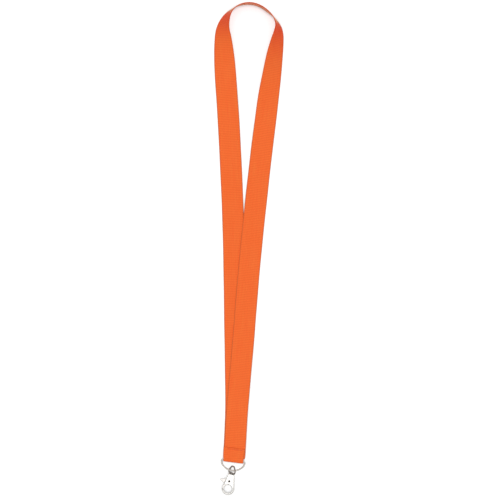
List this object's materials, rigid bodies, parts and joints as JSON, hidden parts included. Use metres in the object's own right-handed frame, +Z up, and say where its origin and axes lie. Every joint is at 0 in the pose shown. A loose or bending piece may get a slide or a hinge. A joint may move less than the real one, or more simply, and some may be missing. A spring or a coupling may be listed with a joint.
{
  "type": "neck lanyard",
  "caption": "Flat woven neck strap, its ends sewn over a D-ring that carries a swivel trigger hook.",
  "frame": {"origin": "middle of the footprint, on the surface that the lanyard lies on", "axes": "+Y from the hook to the top of the neck loop, +X across the loop, +Z up from the surface"},
  "size_m": [0.0653, 0.4606, 0.0205],
  "materials": {
    "webbing": "woven orange ribbon with fine cross ribs",
    "thread": "matt polyester thread",
    "nickel_wire": "bright nickel plate on steel wire",
    "nickel_casting": "bright nickel plate on a die casting",
    "steel": "plain steel"
  },
  "bodies": {
    "strap": {"neck_ribbon": "webbing", "seam_stitching": "thread"},
    "ring": {"d_ring": "nickel_wire"},
    "eye": {"swivel_eye": "nickel_wire"},
    "hook": {"hook_body": "nickel_casting", "swivel_washer": "steel", "gate_rivet": "steel", "gate_spring": "steel"},
    "gate": {"gate_lever": "nickel_casting"}
  },
  "joints": [
    {"name": "ring_swing", "type": "hinge", "parent": "strap", "child": "ring", "pos_m": [-0.0146, -0.19795, 0.00182], "axis": [0.9925, -0.1219, 0], "range_deg": [-100, 95]},
    {"name": "eye_swing", "type": "hinge", "parent": "ring", "child": "eye", "pos_m": [-0.01575, -0.20735, 0.00339], "axis": [0.9925, -0.1219, 0], "range_deg": [-60, 60]},
    {"name": "hook_swivel", "type": "hinge", "parent": "eye", "child": "hook", "pos_m": [-0.01635, -0.21035, 0.00335], "axis": [0.2245, 0.9724, 0.0628], "continuous": true},
    {"name": "gate_hinge", "type": "hinge", "parent": "hook", "child": "gate", "pos_m": [-0.01841, -0.21704, 0.00291], "axis": [-0.0141, -0.0612, 0.998], "range_deg": [0, 25], "stiffness_Nm_per_rad": 0.02, "springref_deg": -11.46, "deforming": ["gate_spring"]}
  ]
}
